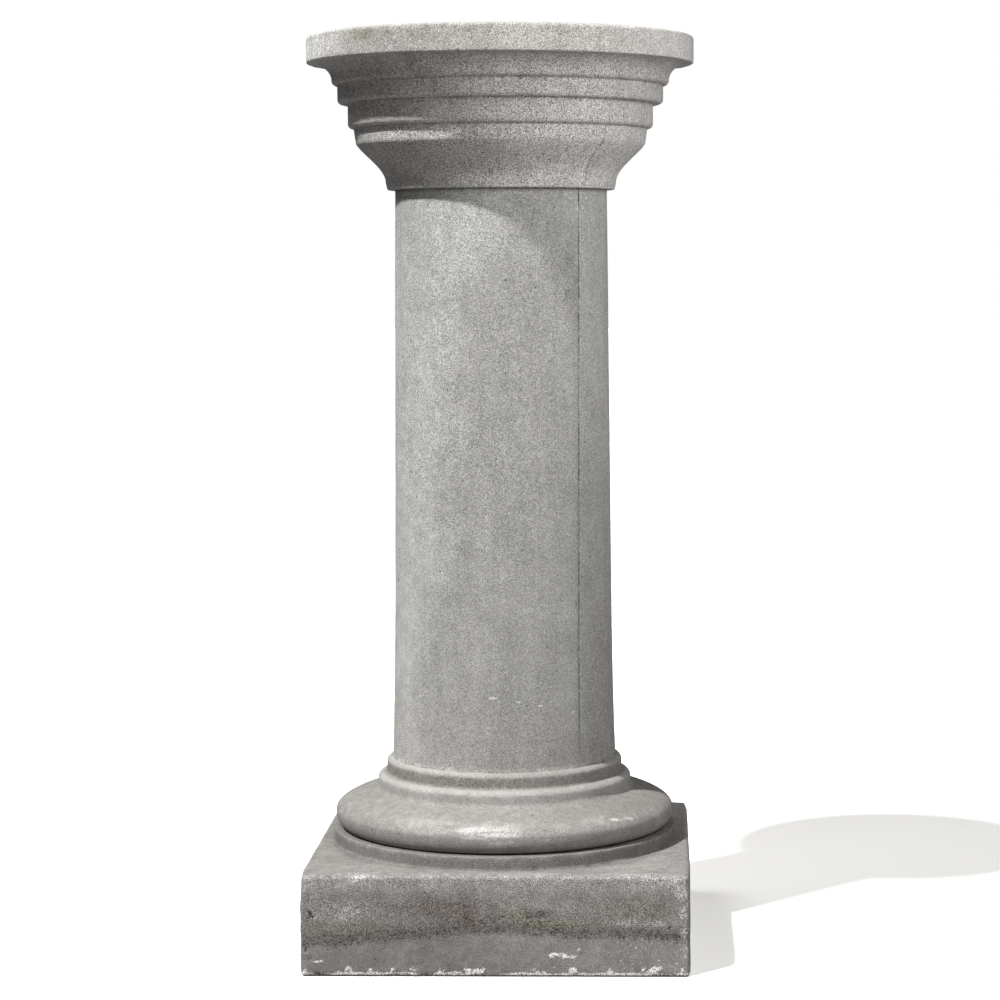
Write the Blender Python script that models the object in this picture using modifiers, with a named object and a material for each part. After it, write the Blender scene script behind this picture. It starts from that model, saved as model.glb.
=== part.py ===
# Column pedestal of cast stone, in three pieces that stand on each other: a square
# plinth with a raised round disc, a tapered column with its base mouldings, and a
# moulded round capital. Metres, +Z up, origin at the middle of the underside.
import math

import bmesh
import bpy
from mathutils import Matrix

# Turned work
TURN_STEPS = 64                   # flats round a turned piece
ARC_STEPS = 3                     # flats along a small rounding
CURVE_STEPS = 6                   # flats along a main moulding
SEAT_GAP = 0.0003                 # clearance where one piece stands on another
SMOOTH_ANGLE = 32.0               # degrees, arrises sharper than this stay crisp
MERGE = 0.00005                   # points of an outline nearer than this are one

# Plinth: the square block and the disc raised on it
PLINTH_MARGIN = 0.0165            # from the disc's edge to the block's sides
PLINTH_HEIGHT = 0.1157
PLINTH_CORNER = 0.0070            # rounding worn on the upright corners
PLINTH_TOP_ARRIS = 0.0065         # rounding worn round the top
PLINTH_FOOT_ARRIS = 0.0035        # rounding worn round the foot
PLINTH_ROUND_STEPS = 4            # flats along each worn rounding
DISC_MARGIN = 0.0025              # disc beyond the torus that stands on it
DISC_HEIGHT = 0.0155
DISC_ARRIS = 0.0020
DISC_ROOT = 0.0200                # depth of the disc's foot inside the block

# Column: torus, lower fillet, upper fillet and shaft, from the bottom up
TORUS_PROJECTION = 0.0495         # beyond the lower fillet
TORUS_UNDERCUT = 0.0120           # its seat, inside its widest line
TORUS_LOW_HEIGHT = 0.0193         # from its seat to its widest line
TORUS_TOP_HEIGHT = 0.0237         # from its widest line to its shoulder
TORUS_SWEEP = 44.0                # degrees of the ellipse that its top follows
TORUS_NECK = 0.0078               # hollow between its shoulder and the lower fillet
LOWER_FILLET_PROJECTION = 0.0103  # beyond the upper fillet
LOWER_FILLET_FACE = 0.0054
LOWER_FILLET_ROUND = 0.0073       # height of the rounding above its face
UPPER_FILLET_PROJECTION = 0.0071  # beyond the foot of the shaft
UPPER_FILLET_FACE = 0.0122
UPPER_FILLET_ROUND = 0.0056
FLARE_SPREAD = 0.0024             # foot of the shaft, beyond its straight taper
FLARE_HEIGHT = 0.1900
FLARE_STEPS = 4                   # flats along the flare
SHAFT_HEIGHT = 0.6575             # from the upper fillet to the capital
SHAFT_FOOT_RADIUS = 0.1281
SHAFT_HEAD_RADIUS = 0.1224

# Capital: necking, cyma, two bands, lip, cavetto and slab, from the bottom up
NECKING_PROJECTION = 0.0092       # beyond the head of the shaft
NECKING_ARRIS = 0.0015
NECKING_HEIGHT = 0.0077
NECKING_FLARE = 0.0013            # how far it spreads by its top
CYMA_SPREAD = 0.0390              # of the whole S-curve, whose top the face cuts off
CYMA_HEIGHT = 0.0585
CYMA_SHARE = 0.760                # of the S-curve's height that is left below the face
CYMA_STEPS = 8                    # flats along the cyma
FACE_HEIGHT = 0.01774             # from the cyma to the lower band
FACE_LEAN = 0.0027
LOWER_BAND_PROJECTION = 0.0065
LOWER_BAND_HEIGHT = 0.0278
UPPER_BAND_PROJECTION = 0.0117
UPPER_BAND_HEIGHT = 0.0210
BAND_ARRIS = 0.0050               # rounding under both bands
LIP_PROJECTION = 0.0065
LIP_HEIGHT = 0.0048
CAVETTO_SPREAD = 0.0215
CAVETTO_HEIGHT = 0.0200
SLAB_PROJECTION = 0.0070
SLAB_HEIGHT = 0.0312
SLAB_FOOT_ARRIS = 0.0020
SLAB_TOP_ARRIS = 0.0035

# Radii and levels that follow from the sizes above
SHAFT_FLARE_RADIUS = SHAFT_FOOT_RADIUS + FLARE_SPREAD
UPPER_FILLET_RADIUS = SHAFT_FLARE_RADIUS + UPPER_FILLET_PROJECTION
LOWER_FILLET_RADIUS = UPPER_FILLET_RADIUS + LOWER_FILLET_PROJECTION
TORUS_RADIUS = LOWER_FILLET_RADIUS + TORUS_PROJECTION
DISC_RADIUS = TORUS_RADIUS + DISC_MARGIN
PLINTH_SIDE = 2.0 * (DISC_RADIUS + PLINTH_MARGIN)
DISC_TOP = PLINTH_HEIGHT + DISC_HEIGHT
COLUMN_FOOT = DISC_TOP + SEAT_GAP


def arc(centre_r, centre_z, run, rise, start, end, steps=ARC_STEPS):
    """Points (radius, level) along an ellipse from start to end, in degrees."""
    points = []
    for step in range(steps + 1):
        angle = math.radians(start + (end - start) * step / steps)
        points.append((centre_r + run * math.cos(angle), centre_z + rise * math.sin(angle)))
    return points


def rounded_foot(radius, level, arris):
    """The rounded lower edge of a member, from its underside out to its face."""
    return arc(radius - arris, level + arris, arris, arris, -90.0, 0.0)


def torus_outline(level):
    """The torus and the hollow above it; returns the points and the level reached."""
    widest = level + TORUS_LOW_HEIGHT
    shoulder = LOWER_FILLET_RADIUS + TORUS_NECK
    sweep = math.radians(TORUS_SWEEP)
    run = (TORUS_RADIUS - shoulder) / (1.0 - math.cos(sweep))
    rise = TORUS_TOP_HEIGHT / math.sin(sweep)
    points = arc(TORUS_RADIUS - TORUS_UNDERCUT, widest, TORUS_UNDERCUT, TORUS_LOW_HEIGHT,
                 -90.0, 0.0, CURVE_STEPS)
    points += arc(TORUS_RADIUS - run, widest, run, rise, 0.0, TORUS_SWEEP, CURVE_STEPS)[1:]
    top = widest + TORUS_TOP_HEIGHT + TORUS_NECK
    points += arc(shoulder, top, TORUS_NECK, TORUS_NECK, 270.0, 180.0)[1:]
    return points, top


def fillet_outline(level, radius, face, inner_radius, rounding):
    """An upright face with its top rounded in to inner_radius."""
    top = level + face
    run = radius - inner_radius
    return arc(radius - run, top, run, rounding, 0.0, 90.0), top + rounding


def shaft_radius(height):
    """Radius of the shaft at a height above the upper fillet: a straight taper and a flared foot."""
    taper = SHAFT_FOOT_RADIUS + (SHAFT_HEAD_RADIUS - SHAFT_FOOT_RADIUS) * height / SHAFT_HEIGHT
    rest = max(0.0, 1.0 - height / FLARE_HEIGHT)
    return taper + FLARE_SPREAD * rest * rest


def column_outline():
    """The column from its seat up to its head; returns the points and the level reached."""
    points, level = torus_outline(COLUMN_FOOT)
    lower, level = fillet_outline(level, LOWER_FILLET_RADIUS, LOWER_FILLET_FACE,
                                  UPPER_FILLET_RADIUS, LOWER_FILLET_ROUND)
    upper, level = fillet_outline(level, UPPER_FILLET_RADIUS, UPPER_FILLET_FACE,
                                  SHAFT_FLARE_RADIUS, UPPER_FILLET_ROUND)
    points += lower + upper
    for step in range(1, FLARE_STEPS + 1):
        height = FLARE_HEIGHT * (step / FLARE_STEPS) ** 1.5
        points.append((shaft_radius(height), level + height))
    points.append((shaft_radius(SHAFT_HEIGHT), level + SHAFT_HEIGHT))
    return points, level + SHAFT_HEIGHT


def cyma_outline(radius, level):
    """The S-curve that swells from the necking, and the nearly upright face above it."""
    points = []
    for step in range(CYMA_STEPS + 1):
        share = CYMA_SHARE * step / CYMA_STEPS
        swell = 0.5 - 0.5 * math.cos(math.pi * share)
        points.append((radius + CYMA_SPREAD * swell, level + CYMA_HEIGHT * share))
    cut_radius, cut_level = points[-1]
    points.append((cut_radius + FACE_LEAN, cut_level + FACE_HEIGHT))
    return points


def capital_outline(foot):
    """The capital from its underside up to the top of its slab."""
    radius = SHAFT_HEAD_RADIUS + NECKING_PROJECTION
    points = rounded_foot(radius, foot, NECKING_ARRIS)
    points += cyma_outline(radius + NECKING_FLARE, foot + NECKING_HEIGHT)
    radius, level = points[-1]
    for projection, height in ((LOWER_BAND_PROJECTION, LOWER_BAND_HEIGHT),
                               (UPPER_BAND_PROJECTION, UPPER_BAND_HEIGHT)):
        radius += projection
        points += rounded_foot(radius, level, min(BAND_ARRIS, projection))
        level += height
        points.append((radius, level))
    lip_radius = radius + LIP_PROJECTION
    points += arc(radius, level + LIP_HEIGHT, LIP_PROJECTION, LIP_HEIGHT, -90.0, 0.0)[1:]
    level += LIP_HEIGHT
    radius = lip_radius + CAVETTO_SPREAD
    points += arc(radius, level, CAVETTO_SPREAD, CAVETTO_HEIGHT, 180.0, 90.0, CURVE_STEPS)[1:]
    level += CAVETTO_HEIGHT
    radius += SLAB_PROJECTION
    points += rounded_foot(radius, level, SLAB_FOOT_ARRIS)
    level += SLAB_HEIGHT
    points += arc(radius - SLAB_TOP_ARRIS, level - SLAB_TOP_ARRIS, SLAB_TOP_ARRIS, SLAB_TOP_ARRIS,
                  0.0, 90.0)
    return points


def disc_outline():
    """The raised disc, from its root inside the block up to its top."""
    root = PLINTH_HEIGHT - DISC_ROOT
    points = [(DISC_RADIUS, root)]
    points += arc(DISC_RADIUS - DISC_ARRIS, DISC_TOP - DISC_ARRIS, DISC_ARRIS, DISC_ARRIS, 0.0, 90.0)
    return points


def make_collection(name):
    collection = bpy.data.collections.new(name)
    bpy.context.scene.collection.children.link(collection)
    return collection


def make_stone(name, colour, roughness):
    """Cast stone of one colour, for one piece."""
    material = bpy.data.materials.new(name)
    material.use_nodes = True
    shader = material.node_tree.nodes["Principled BSDF"]
    shader.inputs["Base Color"].default_value = (*colour, 1.0)
    shader.inputs["Roughness"].default_value = roughness
    shader.inputs["Metallic"].default_value = 0.0
    return material


def settle(piece):
    """Replace the piece's mesh by its modified one, shaded smooth with crisp arrises."""
    evaluated = piece.evaluated_get(bpy.context.evaluated_depsgraph_get())
    mesh = bpy.data.meshes.new_from_object(evaluated)
    piece.modifiers.clear()
    piece.data = mesh
    mesh.name = piece.name
    mesh.shade_smooth()
    mesh.set_sharp_from_angle(angle=math.radians(SMOOTH_ANGLE))


def turn(name, outline, collection):
    """Turn an outline, given from the bottom up, about the Z axis into a closed solid."""
    points = [(0.0, outline[-1][1])]
    for point in reversed([(0.0, outline[0][1])] + outline):
        if math.dist(point, points[-1]) > MERGE:
            points.append(point)
    mesh = bpy.data.meshes.new(name)
    edges = [(index, index + 1) for index in range(len(points) - 1)]
    mesh.from_pydata([(radius, 0.0, level) for radius, level in points], edges, [])
    piece = bpy.data.objects.new(name, mesh)
    collection.objects.link(piece)
    screw = piece.modifiers.new("turned", 'SCREW')
    screw.axis = 'Z'
    screw.steps = TURN_STEPS
    screw.render_steps = TURN_STEPS
    screw.use_merge_vertices = True
    screw.merge_threshold = MERGE
    return piece


def make_block(name, collection):
    """The square block, each run of its edges rounded by its own wear."""
    size = Matrix.Diagonal((PLINTH_SIDE, PLINTH_SIDE, PLINTH_HEIGHT, 1.0))
    lift = Matrix.Translation((0.0, 0.0, PLINTH_HEIGHT / 2.0))
    widest = max(PLINTH_CORNER, PLINTH_TOP_ARRIS, PLINTH_FOOT_ARRIS)
    cage = bmesh.new()
    bmesh.ops.create_cube(cage, size=1.0, matrix=lift @ size)
    wear = cage.edges.layers.float.new("bevel_weight_edge")
    for edge in cage.edges:
        low, high = sorted(vertex.co.z for vertex in edge.verts)
        if high - low > PLINTH_HEIGHT / 2.0:
            edge[wear] = PLINTH_CORNER / widest
        elif high > PLINTH_HEIGHT / 2.0:
            edge[wear] = PLINTH_TOP_ARRIS / widest
        else:
            edge[wear] = PLINTH_FOOT_ARRIS / widest
    mesh = bpy.data.meshes.new(name)
    cage.to_mesh(mesh)
    cage.free()
    block = bpy.data.objects.new(name, mesh)
    collection.objects.link(block)
    bevel = block.modifiers.new("worn_edges", 'BEVEL')
    bevel.limit_method = 'WEIGHT'
    bevel.width = widest
    bevel.segments = PLINTH_ROUND_STEPS
    return block


def make_plinth(collection, blanks):
    """The block with the disc raised on it, cast as one."""
    plinth = make_block("plinth", collection)
    disc = turn("disc_blank", disc_outline(), blanks)
    disc.display_type = 'WIRE'
    disc.hide_render = True
    union = plinth.modifiers.new("raised_disc", 'BOOLEAN')
    union.operation = 'UNION'
    union.solver = 'EXACT'
    union.object = disc
    settle(plinth)
    plinth.data.materials.clear()
    plinth.data.materials.append(make_stone("plinth_stone", (0.235, 0.222, 0.205), 0.94))


def make_column(collection):
    """The shaft with its base mouldings; returns the level of its head."""
    outline, head = column_outline()
    column = turn("column", outline, collection)
    settle(column)
    column.data.materials.append(make_stone("column_stone", (0.390, 0.382, 0.360), 0.92))
    return head


def make_capital(collection, foot):
    """The moulded capital, standing on the head of the column."""
    capital = turn("capital", capital_outline(foot), collection)
    settle(capital)
    capital.data.materials.append(make_stone("capital_stone", (0.345, 0.337, 0.318), 0.93))


def build():
    for leftover in list(bpy.data.objects):
        bpy.data.objects.remove(leftover, do_unlink=True)
    pedestal = make_collection("column_pedestal")
    blanks = make_collection("blanks")
    make_plinth(pedestal, blanks)
    head = make_column(pedestal)
    make_capital(pedestal, head + SEAT_GAP)


build()
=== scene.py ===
import math
import random

import bpy
import numpy as np
from mathutils import Matrix, Vector, noise


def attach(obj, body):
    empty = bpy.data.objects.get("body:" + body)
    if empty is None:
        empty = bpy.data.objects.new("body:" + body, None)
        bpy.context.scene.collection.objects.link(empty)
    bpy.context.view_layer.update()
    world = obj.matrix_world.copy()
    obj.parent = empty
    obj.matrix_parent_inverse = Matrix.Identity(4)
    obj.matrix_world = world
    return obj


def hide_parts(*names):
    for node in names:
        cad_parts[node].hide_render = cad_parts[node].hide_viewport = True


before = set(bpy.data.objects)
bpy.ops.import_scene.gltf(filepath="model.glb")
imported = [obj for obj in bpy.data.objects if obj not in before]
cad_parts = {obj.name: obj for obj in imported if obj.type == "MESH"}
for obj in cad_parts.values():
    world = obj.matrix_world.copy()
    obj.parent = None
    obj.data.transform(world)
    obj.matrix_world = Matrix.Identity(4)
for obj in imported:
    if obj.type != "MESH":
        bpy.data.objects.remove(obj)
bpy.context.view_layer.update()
mm = 0.001
print("frame loaded")

# Column pedestal of cast stone in three pieces. Lengths in the dictionaries are millimetres,
# angles are degrees, and "facing" runs from the front (0) towards the right side (90).


def linearColour(code):
    values = [int(code[place:place + 2], 16) / 255 for place in (1, 3, 5)]
    return [v / 12.92 if v <= 0.04045 else ((v + 0.055) / 1.055) ** 2.4 for v in values] + [1.0]


def addNode(tree, kind, settings=None, links=None):
    node = tree.nodes.new(kind)
    for key, value in (settings or {}).items():
        if isinstance(key, int) or key in node.inputs:
            node.inputs[key].default_value = value
        else:
            setattr(node, key, value)
    for key, source in (links or {}).items():
        tree.links.new(source, node.inputs[key])
    return node


def facingOf(grid):
    return np.degrees(np.arctan2(grid[:, :, 0], -grid[:, :, 1]))


def addStain(masks, kind, field):
    masks[kind] = np.maximum(masks[kind], field)


# Outlines and grids

def arcSteps(centreR, centreZ, run, rise, start, end, gap):
    length = math.radians(abs(end - start)) * max(run, rise)
    count = max(4, round(length / gap))
    angles = [math.radians(start + (end - start) * k / count) for k in range(count + 1)]
    return [(centreR + run * math.cos(a), centreZ + rise * math.sin(a)) for a in angles]


def spaceOut(points, gap):
    # Cuts each long straight run into steps about gap apart, and leaves the corners in place.
    spaced = [points[0]]
    for r, z in points[1:]:
        lastR, lastZ = spaced[-1]
        length = math.hypot(r - lastR, z - lastZ)
        if length < 0.02:
            continue
        count = max(1, round(length / gap))
        spaced += [(lastR + (r - lastR) * k / count, lastZ + (z - lastZ) * k / count)
                   for k in range(1, count + 1)]
    return np.array(spaced)


def turnGrid(outline, columns, seams):
    # The columns of the mesh crowd together at the mould seams, which are only 2 mm wide.
    turn = np.linspace(0, 360, 3601)
    crowd = 1 + sum(5 * np.exp(-(((turn - seam + 180) % 360 - 180) / 2.5) ** 2) for seam in seams)
    share = np.concatenate([[0], np.cumsum((crowd[1:] + crowd[:-1]) / 2)])
    facing = np.radians(np.interp(np.arange(columns) / columns * share[-1], share, turn))
    radius, level = outline[:, :1] * mm, outline[:, 1:] * mm
    return np.stack([radius * np.sin(facing), -radius * np.cos(facing),
                     np.repeat(level, columns, 1)], 2)


def gridNormals(grid):
    along = np.roll(grid, -1, 1) - np.roll(grid, 1, 1)
    upward = np.gradient(grid, axis=0)
    normals = np.cross(along, upward)
    return normals / np.maximum(np.linalg.norm(normals, axis=2, keepdims=True), 1e-12)


def bulgeOf(path, reach, closed=False):
    # How far each point of a section stands out of the line between two points reach away: arrises
    # come out positive and hollows negative.
    loop = np.concatenate([path, path[:1]]) if closed else path
    along = np.concatenate([[0], np.cumsum(np.linalg.norm(np.diff(loop, axis=0), axis=1))])
    total = along[-1]
    here = along[:len(path)]

    def at(where):
        where = where % total if closed else np.clip(where, 0, total)
        return np.stack([np.interp(where, along, loop[:, axis]) for axis in (0, 1)], 1)

    before, after = at(here - reach), at(here + reach)
    way = after - before
    outward = np.stack([way[:, 1], -way[:, 0]], 1)
    outward /= np.maximum(np.linalg.norm(outward, axis=1, keepdims=True), 1e-9)
    return ((path - (before + after) / 2) * outward).sum(1)


# Ageing

def noiseField(grid, size, shift):
    # Smooth noise between -1 and 1, with lumps about size millimetres across.
    places = grid.reshape(-1, 3) / (size * mm) + shift
    return np.array([noise.noise(place) for place in places.tolist()]).reshape(grid.shape[:2])


def smooth(values, low, high):
    share = np.clip((values - low) / (high - low), 0, 1)
    return share * share * (3 - 2 * share)


def markField(grid, reach, facing, across, level, halfWide, halfHigh, slant):
    turn = math.radians(facing)
    side = grid[:, :, 0] * math.cos(turn) + grid[:, :, 1] * math.sin(turn) - across * mm
    front = grid[:, :, 0] * math.sin(turn) - grid[:, :, 1] * math.cos(turn)
    rise = grid[:, :, 2] - level * mm
    lean = math.radians(slant)
    u = (side * math.cos(lean) + rise * math.sin(lean)) / (halfWide * mm)
    v = (rise * math.cos(lean) - side * math.sin(lean)) / (halfHigh * mm)
    return smooth(np.hypot(u, v), 1.35, 0.45) * (front > reach * mm)


def strayMarks(look, faces):
    # Small pits, lime spots and drips for the sides and the back, where few other marks are.
    pick = random.Random(look["seed"])
    marks = []
    for _ in range(look["strayMarks"]):
        facing = pick.choice(faces) if faces else pick.uniform(75, 285)
        across = pick.uniform(-200, 200) if faces else 0
        kind = pick.choice(("pit", "pit", "lime", "grime"))
        size = pick.uniform(1.6, 3.0) if kind == "pit" else pick.uniform(3, 11)
        tall = size * pick.uniform(0.5, 1.3) * (2.5 if kind == "grime" else 1)
        depth = pick.uniform(0.5, 1.2) if kind == "pit" else 0
        marks.append((kind, facing, across, pick.uniform(*look["strayLevels"]), size, tall,
                      pick.uniform(-30, 30), pick.uniform(0.3, 0.6), depth))
    return marks


def ageGrid(grid, look, edge, hollow, still, faces):
    # Lowers the surface where it wears, and notes each kind of stain for the material, with painted shade in
    # the hollows.
    shift = look["seed"]
    marks = look["marks"] + strayMarks(look, faces)
    depth = np.zeros(grid.shape[:2])
    for size, deep in look["relief"]:
        depth += (noiseField(grid, size, shift + size) * 0.5 + 0.2) * deep
    rag = noiseField(grid, 16, shift + 3)
    fine = noiseField(grid, 5, shift + 5)
    depth += edge * look["arrisWear"] * np.clip(0.45 + rag, 0, 1)
    depth += edge * look["chipDepth"] * smooth(rag * 0.6 + fine * 0.7, 0.38, 0.62)
    masks = {kind: np.zeros(grid.shape[:2]) for kind in stains}
    masks["worn"] = edge ** 2 * look["whitened"] * np.clip(0.5 + 0.9 * rag + 1.2 * fine, 0, 1.5)
    # Painted shade in the hollows of the outline, darkening the creases where shade falls, with some grime.
    masks["grime"] = hollow * np.clip(0.7 + 0.5 * rag, 0, 1)
    blots = 0.85 + 0.8 * noiseField(grid, 22, shift + 7) + 0.5 * noiseField(grid, 8, shift + 8)
    blots = np.clip(blots, 0, 1.3)
    for kind, *place, strength, deep in marks:
        field = markField(grid, look["markReach"], *place)
        wide = max(place[3], place[4]) > 12
        addStain(masks, kind, field * strength * (blots if wide else 1))
        depth += field * deep
    return np.clip(depth, 0, None) * (1 - still), masks


def buildPiece(name, grid, depth, masks, material):
    grid = grid - gridNormals(grid) * depth[:, :, None] * mm
    rows, columns = grid.shape[:2]
    centres = [(0, 0, grid[0, 0, 2]), (0, 0, grid[-1, 0, 2])]
    vertices = grid.reshape(-1, 3).tolist() + [tuple(map(float, spot)) for spot in centres]
    faces = []
    for row in range(rows - 1):
        low, high = row * columns, (row + 1) * columns
        faces += [(low + c, low + (c + 1) % columns, high + (c + 1) % columns, high + c)
                  for c in range(columns)]
    foot, head = rows * columns, rows * columns + 1
    last = (rows - 1) * columns
    faces += [(foot, (c + 1) % columns, c) for c in range(columns)]
    faces += [(head, last + c, last + (c + 1) % columns) for c in range(columns)]
    mesh = bpy.data.meshes.new(name)
    mesh.from_pydata(vertices, [], faces)
    mesh.shade_smooth()
    for kind, field in masks.items():
        layer = mesh.attributes.new(kind, 'FLOAT', 'POINT')
        values = np.concatenate([field.ravel(), [field[0].mean(), field[-1].mean()]])
        layer.data.foreach_set("value", values.astype(np.float32))
    mesh.materials.append(material)
    piece = bpy.data.objects.new(name, mesh)
    bpy.context.scene.collection.objects.link(piece)
    print(f"{name}: {len(vertices)} vertices, deepest wear {depth.max():.2f} mm")
    return piece


# Materials

stains = {
    # attribute: colour, how far it covers, size of the ragged edge, how it ends
    # the dark grime colour also lays painted shade, and the pale worn and bleached colours painted light
    "grime": ("#4c4946", 0.8, 9, "soft"),
    "earth": ("#524741", 0.8, 5, "soft"),
    "moss": ("#66654f", 0.65, 6, "soft"),
    "worn": ("#b6b4b1", 0.8, 4, "soft"),
    "dust": ("#6d6a66", 0.85, 16, "soft"),
    "bleached": ("#bcbbb8", 0.6, 14, "soft"),
    "lime": ("#c6c5c2", 0.85, 3.5, "flaky"),
    "pit": ("#2e2b28", 0.85, 3, "flaky"),
    "seam": ("#33312f", 0.9, 9, "soft"),
}


def castStone(name, look):
    # Cast stone: crushed stone and cement rammed damp into a mould. Rain has washed the cement skin
    # off, so the surface is matt, pitted and speckled with its sand.
    material = bpy.data.materials.new(name)
    material.use_nodes = True
    tree = material.node_tree
    shader = tree.nodes["Principled BSDF"]
    place = addNode(tree, "ShaderNodeTexCoord").outputs["Object"]
    sleek = addNode(tree, "ShaderNodeAttribute", {"attribute_name": "sleek"}).outputs["Fac"]
    colours = {key: linearColour(code) for key, code in look["colours"].items()}

    # Speckle: sand grains, weaker where the skin is still smooth. Most of the sand is finer than a
    # millimetre and would not show, so it is drawn 1.15 to 1.3 mm across.
    grain = addNode(tree, "ShaderNodeTexNoise", {"Scale": 1000 / 1.15, "Detail": 0.0},
                    {"Vector": place}).outputs["Fac"]
    grain = addNode(tree, "ShaderNodeMapRange", {1: 0.30, 2: 0.70, 3: -1.0, 4: 1.0},
                    {"Value": grain}).outputs["Result"]
    crumbs = addNode(tree, "ShaderNodeTexVoronoi", {"Scale": 1000 / 1.3},
                     {"Vector": place}).outputs["Color"]
    crumbs = addNode(tree, "ShaderNodeSeparateColor", {}, {"Color": crumbs}).outputs["Red"]
    speckle = addNode(tree, "ShaderNodeMath", {"operation": 'MULTIPLY_ADD', 1: 1.5},
                      {0: crumbs, 2: grain}).outputs[0]
    speckle = addNode(tree, "ShaderNodeMath", {"operation": 'SUBTRACT', 1: 0.75}, {0: speckle}).outputs[0]
    share = addNode(tree, "ShaderNodeMapRange", {"clamp": False, 1: 0.0, 2: 1.0, 3: 1.0, 4: 0.35},
                    {"Value": sleek}).outputs["Result"]
    speckle = addNode(tree, "ShaderNodeMath", {"operation": 'MULTIPLY'}, {0: speckle, 1: share}).outputs[0]

    tone = None
    upright = addNode(tree, "ShaderNodeMapping", {"Scale": (1.0, 1.0, 0.09)}, {"Vector": place}).outputs[0]
    for size, strength, where in look["patterns"]:
        cloud = addNode(tree, "ShaderNodeTexNoise", {"Scale": 1000 / size, "Detail": 3.0, "Roughness": 0.55},
                        {"Vector": upright if where == "streaks" else place}).outputs["Fac"]
        cloud = addNode(tree, "ShaderNodeMapRange", {1: 0.3, 2: 0.7, 3: -strength, 4: strength},
                        {"Value": cloud}).outputs["Result"]
        tone = cloud if tone is None else addNode(
            tree, "ShaderNodeMath", {"operation": 'ADD'}, {0: tone, 1: cloud}).outputs[0]
    amount = addNode(tree, "ShaderNodeMath", {"operation": 'MULTIPLY_ADD', 1: look["speckle"]},
                     {0: speckle, 2: tone}).outputs[0]
    ramp = addNode(tree, "ShaderNodeValToRGB", {},
                   {"Fac": addNode(tree, "ShaderNodeMapRange", {1: -1.2, 2: 1.2, 3: 0.0, 4: 1.0},
                                   {"Value": amount}).outputs["Result"]})
    ramp.color_ramp.elements[0].color = colours["dark"]
    ramp.color_ramp.elements[1].color = colours["pale"]
    ramp.color_ramp.elements.new(0.5).color = colours["stone"]
    colour = ramp.outputs["Color"]

    # Stains, painted shade and painted light, each with a ragged edge and the speckle showing through
    for kind, (code, cover, rag, end) in stains.items():
        mask = addNode(tree, "ShaderNodeAttribute", {"attribute_name": kind}).outputs["Fac"]
        ragged = addNode(tree, "ShaderNodeTexNoise", {"Scale": 1000 / rag, "Detail": 4.0, "Roughness": 0.7},
                         {"Vector": place}).outputs["Fac"]
        if end == "flaky":
            ragged = addNode(tree, "ShaderNodeMath", {"operation": 'MULTIPLY_ADD', 1: 1.2},
                             {0: ragged, 2: mask}).outputs[0]
            factor = addNode(tree, "ShaderNodeMapRange", {1: 1.0, 2: 1.2, 3: 0.0, 4: cover},
                             {"Value": ragged}).outputs["Result"]
        else:
            ragged = addNode(tree, "ShaderNodeMapRange", {1: 0.3, 2: 0.7, 3: 0.1, 4: 1.5},
                             {"Value": ragged}).outputs["Result"]
            factor = addNode(tree, "ShaderNodeMath", {"operation": 'MULTIPLY'},
                             {0: mask, 1: ragged}).outputs[0]
            factor = addNode(tree, "ShaderNodeMath",
                             {"operation": 'MULTIPLY', 1: cover, "use_clamp": True}, {0: factor}).outputs[0]
        tint = addNode(tree, "ShaderNodeMix", {"data_type": 'RGBA', "blend_type": 'MULTIPLY', 0: 1.0,
                                               6: linearColour(code)},
                       {7: addNode(tree, "ShaderNodeMapRange", {1: -1.2, 2: 1.2, 3: 0.1, 4: 1.9},
                                   {"Value": speckle}).outputs["Result"]}).outputs[2]
        colour = addNode(tree, "ShaderNodeMix", {"data_type": 'RGBA'},
                         {0: factor, 6: colour, 7: tint}).outputs[2]

    # Open pits up to 3 mm wide, where air was caught against the mould
    cells = addNode(tree, "ShaderNodeTexVoronoi", {"Scale": 1000 / 11}, {"Vector": place})
    rare = addNode(tree, "ShaderNodeSeparateColor", {}, {"Color": cells.outputs["Color"]}).outputs["Red"]
    reach = addNode(tree, "ShaderNodeMapRange", {1: 0.55, 2: 1.0, 3: 0.0, 4: 0.15},
                    {"Value": rare}).outputs["Result"]
    hole = addNode(tree, "ShaderNodeMath", {"operation": 'SUBTRACT'},
                   {0: reach, 1: cells.outputs["Distance"]}).outputs[0]
    hole = addNode(tree, "ShaderNodeMapRange", {1: 0.0, 2: 0.06}, {"Value": hole}).outputs["Result"]
    colour = addNode(tree, "ShaderNodeMix", {"data_type": 'RGBA', 7: colours["dark"]},
                     {0: addNode(tree, "ShaderNodeMath", {"operation": 'MULTIPLY', 1: 0.7},
                                 {0: hole}).outputs[0], 6: colour}).outputs[2]
    tree.links.new(colour, shader.inputs["Base Color"])

    # Bump: the grains stand 0.2 mm out, the pits are half a millimetre deep
    fine = addNode(tree, "ShaderNodeTexNoise", {"Scale": 1000 / 1.2, "Detail": 1.0},
                   {"Vector": place}).outputs["Fac"]
    height = addNode(tree, "ShaderNodeMath", {"operation": 'MULTIPLY_ADD', 1: 0.22}, {0: speckle}).outputs[0]
    height = addNode(tree, "ShaderNodeMath", {"operation": 'MULTIPLY_ADD', 1: 0.35},
                     {0: fine, 2: height}).outputs[0]
    height = addNode(tree, "ShaderNodeMath", {"operation": 'MULTIPLY_ADD', 1: -1.5},
                     {0: hole, 2: height}).outputs[0]
    bump = addNode(tree, "ShaderNodeBump", {"Strength": look["bump"], "Distance": 0.35 * mm},
                   {"Height": height})
    tree.links.new(bump.outputs["Normal"], shader.inputs["Normal"])
    rough = addNode(tree, "ShaderNodeMapRange", {1: -1.0, 2: 1.0, 3: 0.97, 4: 0.82},
                    {"Value": speckle}).outputs["Result"]
    tree.links.new(rough, shader.inputs["Roughness"])
    shader.inputs["IOR"].default_value = 1.5
    shader.inputs["Metallic"].default_value = 0.0
    return material


# Turned pieces

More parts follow.
